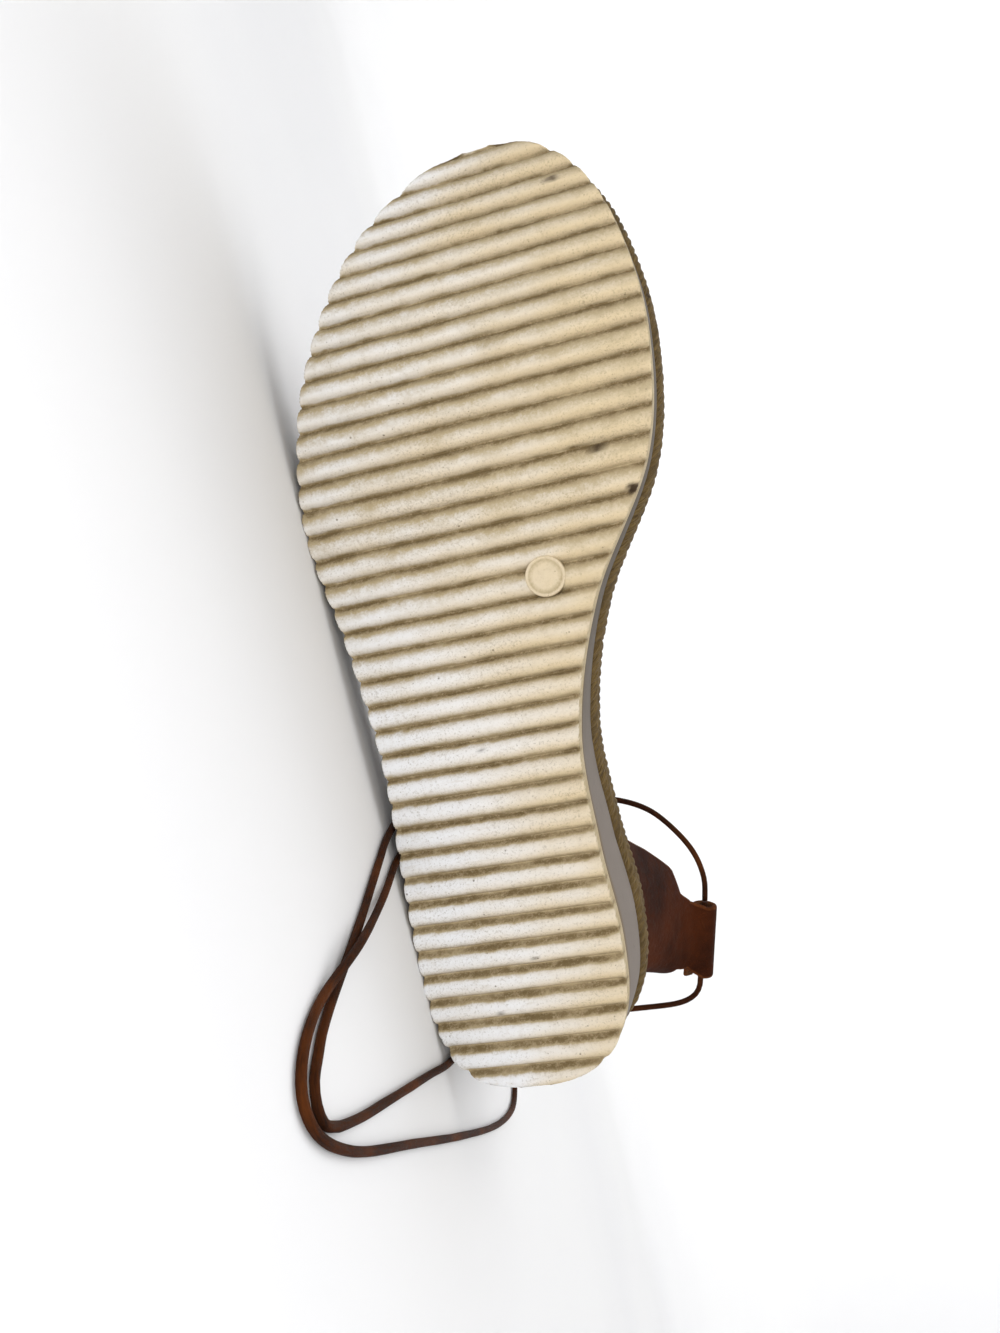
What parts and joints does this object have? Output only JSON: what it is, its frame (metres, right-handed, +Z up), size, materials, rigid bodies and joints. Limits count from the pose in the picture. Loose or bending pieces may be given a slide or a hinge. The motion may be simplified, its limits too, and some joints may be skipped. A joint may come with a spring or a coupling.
{
  "type": "espadrille sandal",
  "caption": "Right-foot wedge espadrille sandal lying on its side: ripple tread, jute rope band, leather upper, tie lace.",
  "frame": {"origin": "middle of the underside of the shoe's box, without the lace, where the shoe lies on the floor", "axes": "+X from toe to heel along the shoe, +Y from the tread into the shoe, +Z up from the floor, towards the shoe's inner side"},
  "size_m": [0.2981, 0.2236, 0.1042],
  "materials": {
    "cream_foam": "matte",
    "pale_foam": "matte",
    "jute": "matte",
    "lining": "matte",
    "upper_leather": "matte",
    "cord_leather": "satin"
  },
  "bodies": {
    "root": {"outsole": "cream_foam", "midsole": "pale_foam", "rope_band": "jute", "insole": "lining", "upper_front_band": "upper_leather", "upper_heel_quarter": "upper_leather", "lace_bar": "cord_leather", "lace_outer_end": "cord_leather", "lace_inner_end": "cord_leather", "lace_outer_knot": "cord_leather", "lace_inner_knot": "cord_leather"}
  },
  "joints": []
}
